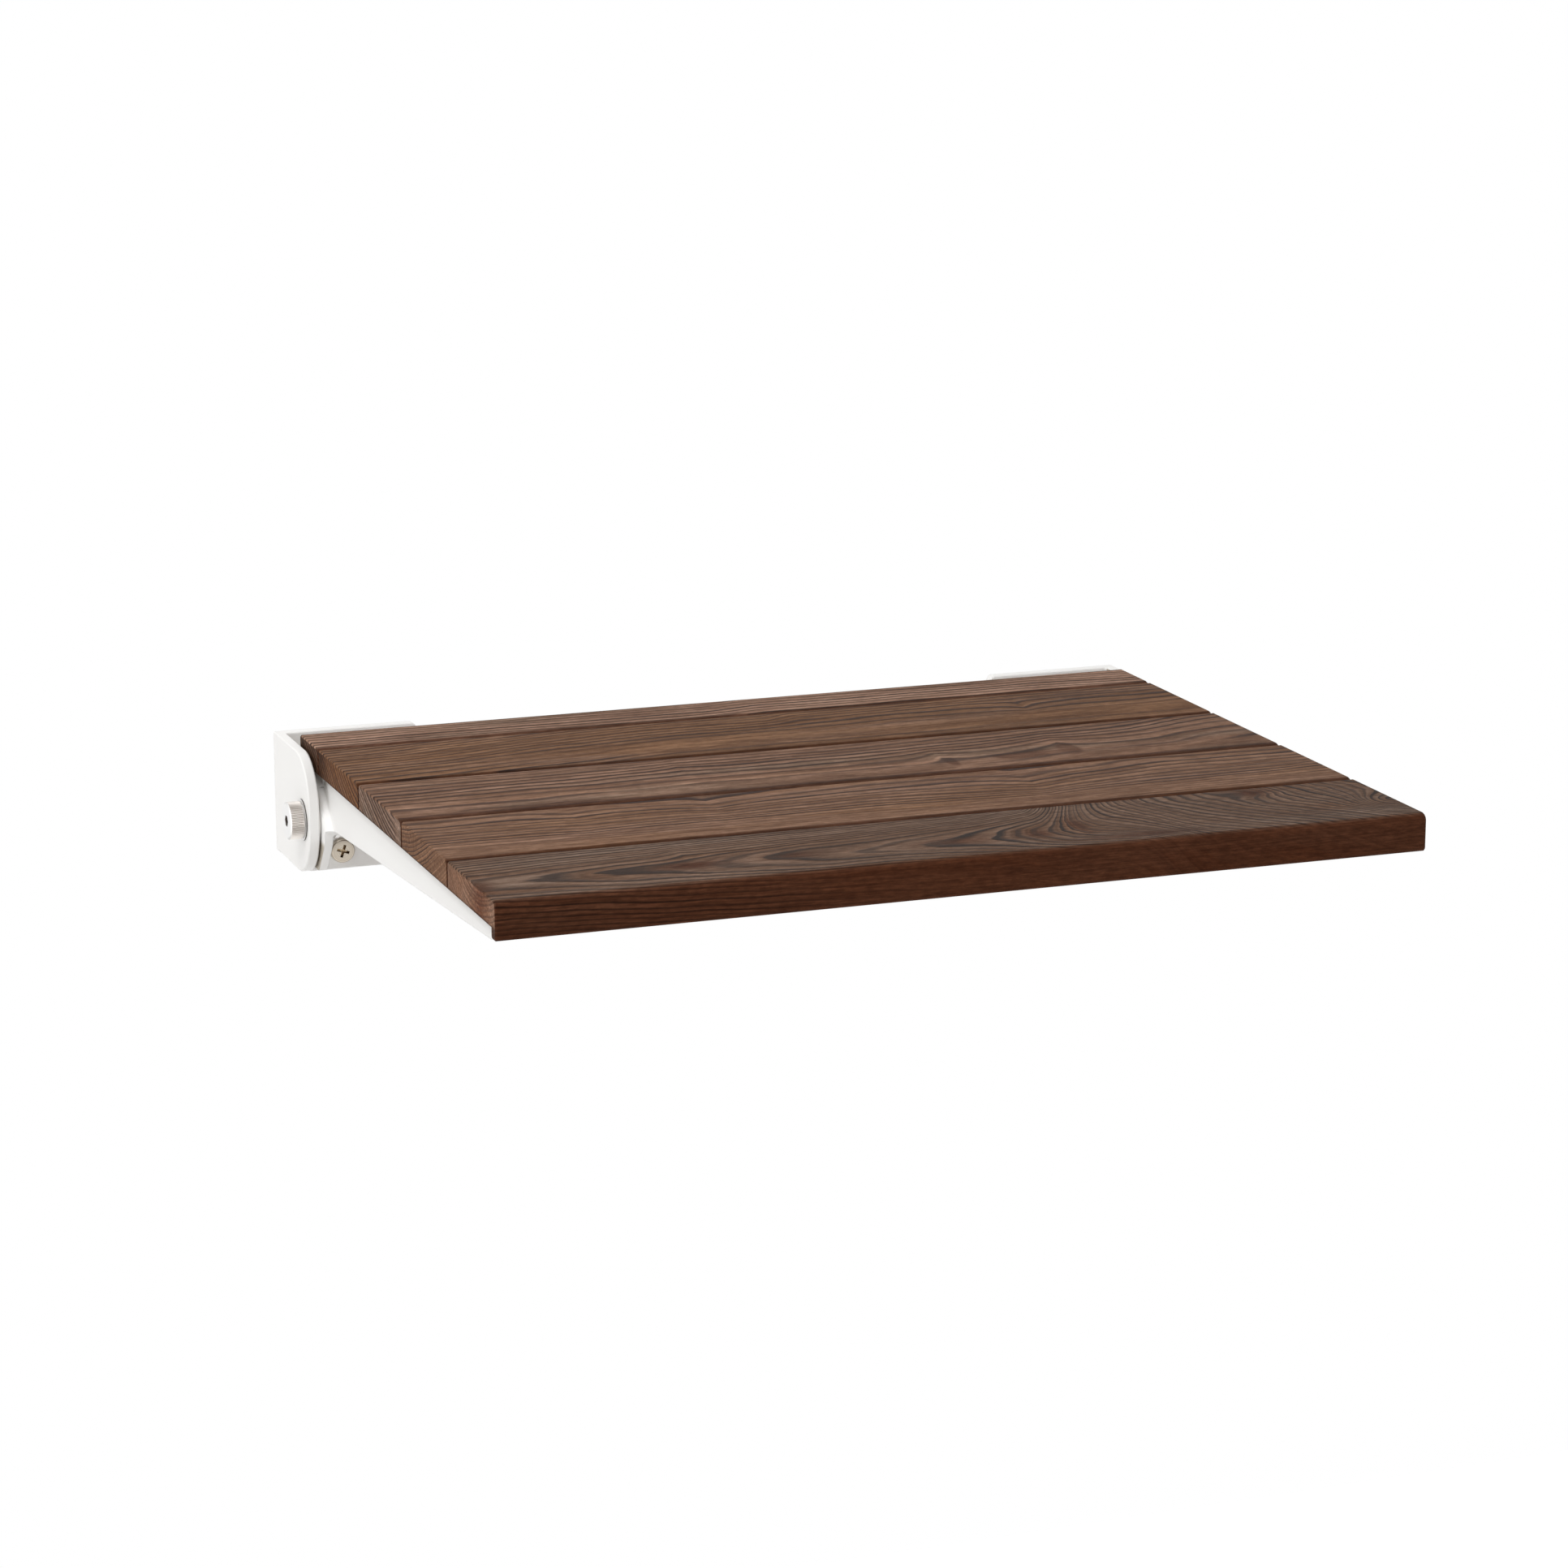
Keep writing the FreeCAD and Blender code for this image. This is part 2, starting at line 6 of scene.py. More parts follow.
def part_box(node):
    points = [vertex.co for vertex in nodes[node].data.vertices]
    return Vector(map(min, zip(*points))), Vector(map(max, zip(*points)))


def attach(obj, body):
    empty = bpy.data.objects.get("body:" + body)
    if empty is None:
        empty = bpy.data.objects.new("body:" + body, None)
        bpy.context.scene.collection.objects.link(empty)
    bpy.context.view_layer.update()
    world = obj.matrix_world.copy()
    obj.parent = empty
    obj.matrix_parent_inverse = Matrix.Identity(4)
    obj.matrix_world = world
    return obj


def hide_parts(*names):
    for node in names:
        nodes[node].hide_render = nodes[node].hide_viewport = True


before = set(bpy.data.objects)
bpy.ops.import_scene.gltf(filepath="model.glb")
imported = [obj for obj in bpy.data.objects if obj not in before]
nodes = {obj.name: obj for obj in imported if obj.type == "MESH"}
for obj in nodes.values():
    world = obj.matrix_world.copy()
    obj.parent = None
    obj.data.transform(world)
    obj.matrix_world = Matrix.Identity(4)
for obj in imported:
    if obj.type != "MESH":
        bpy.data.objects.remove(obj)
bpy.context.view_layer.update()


# The view: from the room, left of the seat and a little above it, through a long lens. Its place
# and angles were fitted to the straight edges of the photograph.
view_place = (-0.70395, -2.01690, 0.50951)
view_yaw = 0.3539
view_pitch = 0.2385
focal_length = 100.505
sensor_width = 36
sight = Vector((
    math.sin(view_yaw) * math.cos(view_pitch),
    math.cos(view_yaw) * math.cos(view_pitch),
    -math.sin(view_pitch),
))
lens = bpy.data.cameras.new("view_lens")
lens.lens = focal_length
lens.sensor_width = sensor_width
lens.clip_start = 0.05
lens.clip_end = 60
view_camera = bpy.data.objects.new("view_camera", lens)
view_camera.location = view_place
view_camera.rotation_euler = sight.to_track_quat("-Z", "Y").to_euler()
bpy.context.scene.collection.objects.link(view_camera)
bpy.context.scene.camera = view_camera
bpy.context.scene.view_settings.view_transform = "Standard"


# The studio: a pale floor at the height that a seat hangs over, a white wall that hides the ends
# of the wall screws, white air all round, and large soft lamps above and to the left. The floor
# is clear from below and the wall from behind, and the wall keeps no light off the seat.
class Wire:
    """A socket of a shader, so that sums and products of sockets can be written out."""

    def __init__(self, tree, socket=None):
        self.tree = tree
        self.socket = socket

    def node(self, kind, settings=None, out=0, **sockets):
        """An output of a new node. Settings come first, then the values or links of its sockets,
        which are named with _ for each space, or by number as i0, i1 and so on."""
        made = self.tree.nodes.new(kind)
        for name, value in (settings or {}).items():
            setattr(made, name, value)
        for name, value in sockets.items():
            target = made.inputs[int(name[1:]) if name[1:].isdigit() else name.replace("_", " ")]
            if isinstance(value, Wire):
                self.tree.links.new(value.socket, target)
            elif isinstance(value, tuple) and len(target.default_value) == 4:
                target.default_value = (*value, 1)
            else:
                target.default_value = value
        return Wire(self.tree, made.outputs[out])

    def feed(self, target):
        self.tree.links.new(self.socket, target)

    def math(self, operation, *values):
        sockets = {"i" + str(number): value for number, value in enumerate(values)}
        return self.node("ShaderNodeMath", {"operation": operation}, **sockets)

    def __add__(self, other):
        return self.math("ADD", self, other)

    def __radd__(self, other):
        return self.math("ADD", other, self)

    def __sub__(self, other):
        return self.math("SUBTRACT", self, other)

    def __rsub__(self, other):
        return self.math("SUBTRACT", other, self)

    def __mul__(self, other):
        return self.math("MULTIPLY", self, other)

    def __rmul__(self, other):
        return self.math("MULTIPLY", other, self)

    def __truediv__(self, other):
        return self.math("DIVIDE", self, other)

    def __pow__(self, other):
        return self.math("POWER", self, other)

    def __rpow__(self, other):
        return self.math("POWER", other, self)

    def __neg__(self):
        return self.math("MULTIPLY", self, -1.0)

    def __abs__(self):
        return self.math("ABSOLUTE", self)

    def between(self, low, high):
        """0 below low, 1 above high and a smooth rise from one to the other."""
        settings = {"interpolation_type": "SMOOTHSTEP"}
        return self.node("ShaderNodeMapRange", settings, Value=self, From_Min=low, From_Max=high)

    def mixed(self, first, second, blend="MIX"):
        """Colour between first and second, by this value."""
        settings = {"data_type": "RGBA", "blend_type": blend}
        return self.node("ShaderNodeMix", settings, out=2, i0=self, i6=first, i7=second)

    def rays(self, *kinds):
        """1 on the rays of these kinds, such as Camera."""
        path = self.tree.nodes.new("ShaderNodeLightPath")
        found = Wire(self.tree, path.outputs["Is " + kinds[0] + " Ray"])
        for kind in kinds[1:]:
            found = found.math("MAXIMUM", found, Wire(self.tree, path.outputs["Is " + kind + " Ray"]))
        return found

    def place(self):
        """Where each point of the surface is, in metres."""
        return self.node("ShaderNodeTexCoord", out=3)

    def facing(self):
        """Which way the surface faces at each point."""
        return self.node("ShaderNodeTexCoord", out=1)

    def parts(self):
        """The X, the Y and the Z of this vector."""
        split = self.node("ShaderNodeSeparateXYZ", i0=self).socket.node
        return [Wire(self.tree, output) for output in split.outputs]

    def streaks(self, detail=2.0):
        """Noise along one line, with this value as the place on it."""
        line = {"noise_dimensions": "1D"}
        return self.node("ShaderNodeTexNoise", line, W=self, Scale=1.0, Detail=detail)


def surface(name):
    """A new material, its main shader, and a wire to build the rest from."""
    material = bpy.data.materials.new(name)
    material.use_nodes = True
    tree = material.node_tree
    return material, tree.nodes["Principled BSDF"], Wire(tree)


def stage_plane(name, size, place, turn):
    bpy.ops.object.select_all(action="DESELECT")
    bpy.ops.mesh.primitive_plane_add(size=size, location=place, rotation=turn)
    plane = bpy.context.object
    plane.name = name
    bpy.ops.object.transform_apply()
    return plane


stage_size = 12
floor_height = -0.441
floor_glow = 0.6
floor = stage_plane("floor", stage_size, (0, 0, floor_height), (0, 0, 0))
floor_paint, shader, wire = surface("floor_paint")
shader.inputs["Base Color"].default_value = (0.86, 0.86, 0.855, 1)
shader.inputs["Roughness"].default_value = 0.9
lit = Wire(wire.tree, shader.outputs[0])
glow = wire.node("ShaderNodeEmission", Color=(1, 1, 1), Strength=floor_glow)
pale = wire.node("ShaderNodeAddShader", i0=lit, i1=glow)
seen = wire.rays("Camera", "Glossy", "Transmission")
top = wire.node("ShaderNodeMixShader", i0=seen, i1=lit, i2=pale)
clear = wire.node("ShaderNodeBsdfTransparent")
below = wire.node("ShaderNodeNewGeometry", out=6)
sheet = wire.node("ShaderNodeMixShader", i0=below, i1=top, i2=clear)
sheet.feed(wire.tree.nodes["Material Output"].inputs["Surface"])
floor.data.materials.append(floor_paint)

behind_plates = 0.0004
wall = stage_plane("wall", stage_size, (0, behind_plates, 2.0), (math.radians(90), 0, 0))
wall_paint, shader, wire = surface("wall_paint")
glow = wire.node("ShaderNodeEmission", Color=(1, 1, 1), Strength=1.0)
clear = wire.node("ShaderNodeBsdfTransparent")
behind = wire.node("ShaderNodeNewGeometry", out=6)
seen = wire.rays("Camera", "Glossy", "Transmission") * (1.0 - behind)
sheet = wire.node("ShaderNodeMixShader", i0=seen, i1=clear, i2=glow)
sheet.feed(wire.tree.nodes["Material Output"].inputs["Surface"])
wall.data.materials.append(wall_paint)

air = bpy.data.worlds.new("air")
bpy.context.scene.world = air
air.use_nodes = True
wire = Wire(air.node_tree)
light = wire.node("ShaderNodeBackground", Color=(1.0, 0.98, 0.955), Strength=0.62)
white = wire.node("ShaderNodeBackground", Color=(1, 1, 1), Strength=1.0)
seen = wire.rays("Camera", "Glossy", "Transmission")
shown = wire.node("ShaderNodeMixShader", i0=seen, i1=light, i2=white)
shown.feed(wire.tree.nodes["World Output"].inputs["Surface"])


def soft_lamp(name, place, size, power):
    """A large lamp that shines on the middle of the seat."""
    lamp = bpy.data.lights.new(name, "AREA")
    lamp.shape = "RECTANGLE"
    lamp.size, lamp.size_y = size
    lamp.energy = power
    holder = bpy.data.objects.new(name, lamp)
    holder.location = place
    holder.rotation_euler = (Vector(seat_middle) - Vector(place)).to_track_quat("-Z", "Y").to_euler()
    bpy.context.scene.collection.objects.link(holder)


seat_middle = (0, -0.2, 0)
soft_lamp("top_lamp", (-0.8, -0.7, 1.9), (1.6, 1.0), 20.5)
soft_lamp("left_lamp", (-2.3, -0.4, 0.7), (1.4, 1.2), 10)


# The slats: five boards of heat-treated softwood, oiled dark brown, planed to one thickness with
# their long edges rounded. Each is cut from another place in a log, so each has its own figure.
class Board:
    """A board's wood. Lengths are millimetres, along the board from its middle, depth from its
    rear edge towards the room, and height over the seat's origin."""

    def __init__(self, name, number):
        front, rear = (corner.y * 1000 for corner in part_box("slat_" + str(number)))
        self.width = rear - front
        self.material, self.shader, self.wire = surface(name)
        place = self.wire.place()
        place = self.wire.node("ShaderNodeVectorMath", {"operation": "SCALE"}, i0=place, Scale=1000.0)
        self.along, y, self.height = place.parts()
        self.depth = rear - y
        self.from_wall = -y
        self.place = self.wire.node("ShaderNodeCombineXYZ", X=self.along, Y=self.depth, Z=self.height)

    def noise(self, long, deep, shift, detail=2.0, rough=0.5, tall=None):
        """Noise whose features are about this long, deep and tall."""
        stretch = (1 / long, 1 / deep, 1 / (tall or deep))
        spread = self.wire.node(
            "ShaderNodeVectorMath", {"operation": "MULTIPLY_ADD"},
            i0=self.place, i1=stretch, i2=(shift, shift * 1.7, shift * 0.6),
        )
        return self.wire.node(
            "ShaderNodeTexNoise", Vector=spread, Scale=1.0, Detail=detail, Roughness=rough,
        )

    def hill(self, along, depth, long, deep):
        """1 at a spot of the top face, falling to nothing about long and deep away from it."""
        away = self.wire.node(
            "ShaderNodeVectorMath", {"operation": "MULTIPLY_ADD"},
            i0=self.place, i1=(1 / long, 1 / deep, 0), i2=(-along / long, -depth / deep, 0),
        )
        square = self.wire.node(
            "ShaderNodeVectorMath", {"operation": "DOT_PRODUCT"}, out=1, i0=away, i1=away,
        )
        return (1 / math.e) ** square

    def crease(self, along, depth, long, deep):
        """As a hill, with a sharp ridge across the board."""
        aside = abs((self.along - along) / long)
        down = (self.depth - depth) / deep
        return (1 / math.e) ** (aside + down * down)


def year_rings(board, log, year, seed, wander):
    """How far from the heart of its log each point lies, how late in its year it grew, and two
    random values that all of that year's ring shares."""
    wire = board.wire
    across, above, spread = log(board)
    across = across + (board.noise(90, 40, seed, 1.0) - 0.5) * wander[0]
    above = above + (board.noise(60, 30, seed + 7, 1.0) - 0.5) * wander[1]
    distance = (across * across + above * above) ** 0.5 - spread
    distance = distance + (board.noise(30, 6, seed + 3) - 0.5) * wander[2]
    years = distance / year
    uneven = (years * 0.37 + seed).streaks()
    years = years + (uneven - 0.5) * 0.7
    season = wire.math("FRACT", years)
    ring = wire.math("FLOOR", years) + seed
    ring_tone = wire.node("ShaderNodeTexWhiteNoise", {"noise_dimensions": "1D"}, W=ring)
    ring_tint = wire.node("ShaderNodeTexWhiteNoise", {"noise_dimensions": "1D"}, W=ring + 0.5)
    return distance, season, ring_tone, ring_tint


slat_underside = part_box("slat_2")[0].z * 1000
resin_brown = (0.115, 0.043, 0.020)


def wood(
    name, number, log, year, seed, tones, edge,
    fades=None, stains=None, wander=(4, 3, 1.2), end_lines=1.0,
):
    """The wood of one slat. log(board) gives how far each point of the board lies across and above
    the heart of its log, and how much wider its rings have run out there. year is the width of a
    ring, and seed picks the slat's own noise. tones are the colours of the early wood, of the late
    wood, of its warm patches and of its grey patches of painted sheen, and what the cut ends do to
    them. edge is how wide a band along the front edge is darkened, and how dark: on the front slat
    this is the wood's own darker edge, on the others mostly painted shade in the gap to the next
    slat. fades tells where the rings fade, and stains where resin has darkened the wood. wander is
    how far the rings stray, and end_lines how much stronger they show on the cut ends."""
    early, late, warm, grey, ends = tones
    edge_width, edge_tone = edge
    board = Board(name, number)
    wire, shader = board.wire, board.shader
    distance, season, ring_tone, ring_tint = year_rings(board, log, year, seed, wander)

    # Late wood darkens slowly through the year and ends sharply. The front face shows it least.
    facing_x, facing_y, _ = wire.facing().parts()
    sideways = abs(facing_x).between(0.7, 0.95)
    forwards = (-facing_y).between(0.04, 0.75)
    plain_front = forwards * (board.along.between(-140, -20) * 0.6 + 0.3)
    lateness = season.between(0.42, 0.72) * (1.0 - season.between(0.86, 0.97))
    lateness = lateness * (ring_tone * 0.5 + 0.55)
    if fades:
        lateness = lateness * (1.0 - fades(board))
    lateness = lateness * (1.0 - plain_front) * (sideways * (end_lines - 1.0) + 1.0)
    lateness = wire.math("MINIMUM", lateness, 1.0)

    # Patches of colour, among them grey patches of painted sheen, and the streaks, fibres and flecks
    # that are finer than a ring.
    flow = wire.node("ShaderNodeCombineXYZ", X=board.along * 0.014, Y=distance * (1.3 / year), Z=seed)
    flow = wire.node("ShaderNodeTexNoise", Vector=flow, Scale=1.0, Detail=3.0, Roughness=0.7)
    streak = board.noise(35, 2.4, seed + 13, 3.0, 0.65, 1.3)
    fibre = board.noise(9, 0.5, seed + 11, 3.0, 0.65)
    fleck = board.noise(5, 2.2, seed + 19, 2.0, 0.6)
    warmth = board.noise(130, 24, seed + 23).between(0.42, 0.66) * (ring_tint * 0.8 + 0.3)
    sheen_patches = board.noise(160, 22, seed + 31).between(0.48, 0.70) * 0.85
    colour = sheen_patches.mixed(warmth.mixed(early, warm), grey)
    if stains:
        colour = (stains(board) * (streak * 0.7 + 0.5)).mixed(colour, resin_brown)
    flowing = flow.between(0.34, 0.64) * (1.0 - plain_front * 0.75)
    colour = flowing.mixed(colour, (0.60, 0.55, 0.51), "MULTIPLY")
    colour = (streak.between(0.36, 0.66) * 0.8).mixed(colour, (0.68, 0.63, 0.60), "MULTIPLY")
    spring = (1.0 - season.between(0.02, 0.28)) * ring_tint * 0.95 * (1.0 - plain_front)
    colour = spring.mixed(colour, (1.35, 1.33, 1.30), "MULTIPLY")
    colour = lateness.mixed(colour, late)
    colour = (fibre.between(0.34, 0.66) * 0.8).mixed(colour, (0.66, 0.64, 0.62), "MULTIPLY")
    colour = (fleck.between(0.36, 0.64) * 0.65).mixed(colour, (0.66, 0.63, 0.60), "MULTIPLY")

    # Painted shade: the wood darkens towards the right, where the lamps light it less, on the front
    # edges in the gaps between the slats, at the foot of the cut ends above the arm, and on the ends
    # beside the bracket's ear. The front slat's front edge is a darker wood of its own.
    colour = board.along.between(-230, 230).mixed(colour, (0.86, 0.85, 0.84), "MULTIPLY")
    colour = sideways.mixed(colour, ends, "MULTIPLY")
    edge_start = board.width - edge_width
    front_band = board.depth.between(edge_start, edge_start + 2.2) * (1.0 - sideways) * 0.8
    colour = wire.math("MAXIMUM", forwards, front_band).mixed(colour, edge_tone, "MULTIPLY")
    end_foot_shade = sideways * (1.0 - board.height.between(slat_underside + 0.5, slat_underside + 1.8))
    ear_shade = sideways * (1.0 - board.from_wall.between(62, 88))
    shaded = wire.math("MAXIMUM", end_foot_shade, ear_shade) * 0.8
    shaded.mixed(colour, (0.14, 0.10, 0.08), "MULTIPLY").feed(shader.inputs["Base Color"])

    rough = 0.62 + lateness * -0.08 + (fibre - 0.5) * 0.2
    rough.feed(shader.inputs["Roughness"])
    shader.inputs["Specular IOR Level"].default_value = 0.04
    relief = lateness * 0.16 + flow * 0.1 + fibre * 0.1
    bump = wire.node("ShaderNodeBump", Strength=1.0, Distance=0.001, Height=relief)
    bump.feed(shader.inputs["Normal"])
    return board.material


def rear_slat_log(board):
    """Straight rings, with one small step at the middle and one at the right."""
    step = board.along.between(-22, 12) * -4 + board.along.between(150, 215) * 5
    return board.depth - step - 105, board.height - 166, 0


def second_slat_log(board):
    """Rings that fan out to the left, with a step at the middle and a kink at the right."""
    fan = (-board.along).between(40, 230) * 19
    step = board.along.between(2, 22) * (1.0 - board.depth.between(14, 34)) * -5
    kink = board.crease(133, 30, 9, 16) * 6
    across = board.depth - fan - step - kink + board.along * 0.02 - 103
    return across, board.height - 166, 0


def second_slat_fades(board):
    """A plain strip at the front, from the middle to the right."""
    strip = board.depth.between(34, 46) * (1.0 - board.depth.between(58, 64))
    return board.along.between(-215, -40) * strip


def third_slat_log(board):
    """A small knot at the left, two peaks at the right, and rings that climb to the right."""
    knot = board.crease(-68, 19, 10, 10) * -3.5
    peaks = board.crease(54, 38, 14, 13) * -9 + board.crease(117, 34, 14, 14) * -10
    rise = board.along.between(20, 150) * -8 + board.along.between(145, 220) * -15
    across = board.depth - knot - peaks - rise + board.along * 0.012 - 96.7
    return across, board.height - 202, 0


def third_slat_fades(board):
    """A plain strip at the front, apart from a streak at the left and the foot of the peaks."""
    lined = board.hill(-170, 56, 60, 9) + board.hill(88, 48, 34, 14)
    return board.depth.between(50, 56) * (1.0 - lined.between(0.1, 0.6))


def third_slat_stains(board):
    """A flame of resin under the peaks, and a streak at the left."""
    flame = board.hill(92, 50, 22, 9) + board.hill(56, 52, 4, 10) + board.hill(118, 44, 5, 12)
    flame = flame - board.hill(67, 54, 7, 7) * 1.3
    return flame.between(0.25, 0.75) * 0.8 + board.hill(-140, 64, 22, 5) * 0.7


def fourth_slat_log(board):
    """Three dips in the rings, a small one at the left and a wide one right of the middle."""
    first = board.crease(-141, 14, 18, 26) * 5
    second = board.crease(-77, 12, 24, 24) * 14
    third = board.crease(74.5, 30, 34, 34) * 13
    return board.depth - first - second - third + 30, board.height - 186, 0


def fourth_slat_fades(board):
    """The rings fade towards the front."""
    return board.depth.between(44, 60) * 0.75


def front_slat_log(board):
    """Long flames at the left, where the saw ran out of one ring after another, and rings that
    turn round across the board at the right."""
    turn = board.along.between(45, 115)
    kink = board.crease(-118, 22, 10, 9) * -4
    across = (board.depth - 45 + turn * 60) * (1.0 - turn * 0.6) - kink
    above = board.height - 72.7 + board.along * 0.0445
    out = board.along - 25
    spread = (out + (out * out + 900) ** 0.5) * 0.135 + turn * 14
    spread = spread + board.hill(212, 42, 15, 15) * 12 - board.hill(158, 8, 13, 9) * 5
    return across, above, spread


def front_slat_stains(board):
    """Resin in the tips of the flames, in marks at the middle, and at both ends."""
    tips = board.hill(-120, 43, 16, 6) + board.hill(-74, 42, 12, 5) * 0.7
    tips = tips + board.hill(0, 44, 18, 6) * 0.8
    marks = board.hill(40, 44, 7, 7) * 0.8 + board.hill(61, 36, 4, 14) * 0.8
    marks = marks + board.hill(82, 60, 30, 5) * 0.7
    return (tips + marks) * 1.3 + board.hill(158, 9, 9, 7) * 1.2 + board.hill(-214, 48, 6, 12)


def front_slat_fades(board):
    """The rings show less where resin has run."""
    return front_slat_stains(board).between(0.2, 1.0) * 0.55


late_brown = (0.040, 0.018, 0.011)
golden_brown = (0.298, 0.163, 0.090)
warm_brown = (0.272, 0.142, 0.073)
pink_brown = (0.353, 0.213, 0.148)
mid_brown = (0.351, 0.207, 0.136)
grey_brown = (0.325, 0.224, 0.164)
plain_ends = (0.96, 0.90, 0.82)
edge_and_gap_shade = (0.20, 0.11, 0.08)
on_show = (0.49, 0.285, 0.20)
rear_tones = ((0.580, 0.375, 0.280), late_brown, pink_brown, grey_brown, plain_ends)
second_tones = (golden_brown, late_brown, warm_brown, (0.288, 0.172, 0.116), (0.95, 0.80, 0.62))
third_tones = (pink_brown, late_brown, mid_brown, grey_brown, (1.12, 1.27, 1.42))
fourth_tones = (mid_brown, late_brown, (0.340, 0.188, 0.104), pink_brown, plain_ends)
front_tones = (
    (0.255, 0.166, 0.120), (0.024, 0.013, 0.009), (0.225, 0.130, 0.082), (0.258, 0.186, 0.146),
    (1.60, 1.45, 1.36),
)
slat_woods = [
    wood(
        "rear_slat_wood", 1, rear_slat_log, 2.8, 3.1, rear_tones, (4.5, edge_and_gap_shade),
        wander=(3, 3, 0.8),
    ),
    wood(
        "second_slat_wood", 2, second_slat_log, 2.9, 9.4, second_tones, (4.5, edge_and_gap_shade),
        fades=second_slat_fades,
    ),
    wood(
        "third_slat_wood", 3, third_slat_log, 2.5, 17.7, third_tones, (6.5, edge_and_gap_shade),
        fades=third_slat_fades, stains=third_slat_stains, wander=(3, 3, 0.9), end_lines=1.6,
    ),
    wood(
        "fourth_slat_wood", 4, fourth_slat_log, 2.0, 24.2, fourth_tones, (4.5, edge_and_gap_shade),
        fades=fourth_slat_fades, wander=(3, 3, 0.8), end_lines=0.8,
    ),
    wood(
        "front_slat_wood", 5, front_slat_log, 2.05, 33.3, front_tones, (4, on_show),
        fades=front_slat_fades, stains=front_slat_stains, wander=(4, 4, 1.0), end_lines=0.4,
    ),
]


def finish_with(piece, material):
    piece.data.materials.clear()
    piece.data.materials.append(material)


for number, material in enumerate(slat_woods, start=1):
    finish_with(nodes["slat_" + str(number)], material)


# The arms and the wall brackets: steel plate, cut and stepped or folded in a press, then powder
# coated satin white all over, so that every edge is slightly round. The slit between each ear and
# its arm is painted with greyish-brown shade.
slit = (0.2155, 0.2165)
slit_blur = 0.0006
slit_middle = 0.0034
unshaded_part, shaded_part = 0.007, 0.0105


def powder_coat():
    """White, with painted shade in the slit above and below the washer that fills its middle."""
    material, shader, wire = surface("white_powder_coat")
    place = wire.place()
    peel = wire.node("ShaderNodeTexNoise", Vector=place, Scale=900.0, Detail=2.0)
    cloud = wire.node("ShaderNodeTexNoise", Vector=place, Scale=18.0, Detail=2.0)
    facing_x = wire.facing().parts()[0]
    x, _, z = place.parts()
    inner = abs(x).between(slit[0] - slit_blur, slit[0])
    outer = 1.0 - abs(x).between(slit[1], slit[1] + slit_blur)
    slit_shade = abs(facing_x).between(0.8, 0.95) * inner * outer
    slit_shade = slit_shade * abs(z - slit_middle).between(unshaded_part, shaded_part)
    colour = cloud.mixed((0.865, 0.86, 0.848), (0.885, 0.882, 0.874))
    (slit_shade * 0.9).mixed(colour, (0.44, 0.39, 0.31)).feed(shader.inputs["Base Color"])
    (0.36 + peel * 0.1).feed(shader.inputs["Roughness"])
    round_edge = wire.node("ShaderNodeBevel", {"samples": 6}, Radius=0.0007)
    bump = wire.node("ShaderNodeBump", Strength=0.12, Distance=0.0002, Height=peel, Normal=round_edge)
    bump.feed(shader.inputs["Normal"])
    return material


white_coat = powder_coat()
for side in ("left", "right"):
    for piece in ("arm", "wall_bracket"):
        finish_with(nodes[side + "_" + piece], white_coat)


# The pivots' washers, collars and lock nuts: turned or pressed stainless steel, the bush in the
# arm of bronze. The washer under the bolt's head is near black on its rim, and its faces are ground bright.
def plain_metal(name, colour, roughness):
    """Metal with a faint cloud over its colour and fine scratches."""
    material, shader, wire = surface(name)
    place = wire.place()
    scratch = wire.node("ShaderNodeTexNoise", Vector=place, Scale=1400.0, Detail=3.0)
    cloud = wire.node("ShaderNodeTexNoise", Vector=place, Scale=120.0, Detail=2.0)
    shader.inputs["Metallic"].default_value = 1.0
    dull = tuple(part * 0.88 for part in colour)
    cloud.mixed(dull, colour).feed(shader.inputs["Base Color"])
    (roughness + (scratch - 0.5) * 0.18).feed(shader.inputs["Roughness"])
    bump = wire.node("ShaderNodeBump", Strength=0.15, Distance=0.0001, Height=scratch)
    bump.feed(shader.inputs["Normal"])
    return material


def black_rimmed_steel():
    """Black on the rim, and ground bright on the faces."""
    material, shader, wire = surface("rimmed_washer")
    cloud = wire.node("ShaderNodeTexNoise", Vector=wire.place(), Scale=900.0, Detail=3.0)
    flat = abs(wire.facing().parts()[0]).between(0.5, 0.8)
    ground = (cloud * 0.3 + flat * 0.7).mixed(washer_black, (0.92, 0.91, 0.90))
    flat.mixed(washer_black, ground).feed(shader.inputs["Base Color"])
    shader.inputs["Metallic"].default_value = 1.0
    (0.35 + cloud * 0.15).feed(shader.inputs["Roughness"])
    return material


washer_black = (0.07, 0.065, 0.06)
steel = plain_metal("stainless_steel", (0.74, 0.72, 0.69), 0.3)
black_steel = black_rimmed_steel()
bronze = plain_metal("bronze", (0.62, 0.42, 0.2), 0.35)
for side in ("left", "right"):
    for piece in ("thrust_washer", "pivot_collar", "inner_washer", "lock_nut"):
        finish_with(nodes[side + "_" + piece], steel)
    finish_with(nodes[side + "_head_washer"], black_steel)
    finish_with(nodes[side + "_pivot_bush"], bronze)


# The pivot bolts: shoulder bolts with a low round head, its rim knurled for the fingers and its
# face sunk for a hexagon key, a ground shoulder that the arm turns on, and a threaded end.
def pick(piece, kind, test):
    """In edit mode, selects just the vertices or faces whose middle passes the test."""
    bpy.ops.object.mode_set(mode="EDIT")
    bpy.ops.mesh.select_mode(type=kind)
    bpy.ops.mesh.select_all(action="DESELECT")
    bpy.ops.object.mode_set(mode="OBJECT")
    if kind == "VERT":
        for vertex in piece.data.vertices:
            vertex.select = test(vertex.co)
    else:
        for face in piece.data.polygons:
            face.select = test(face.center)
    bpy.ops.object.mode_set(mode="EDIT")


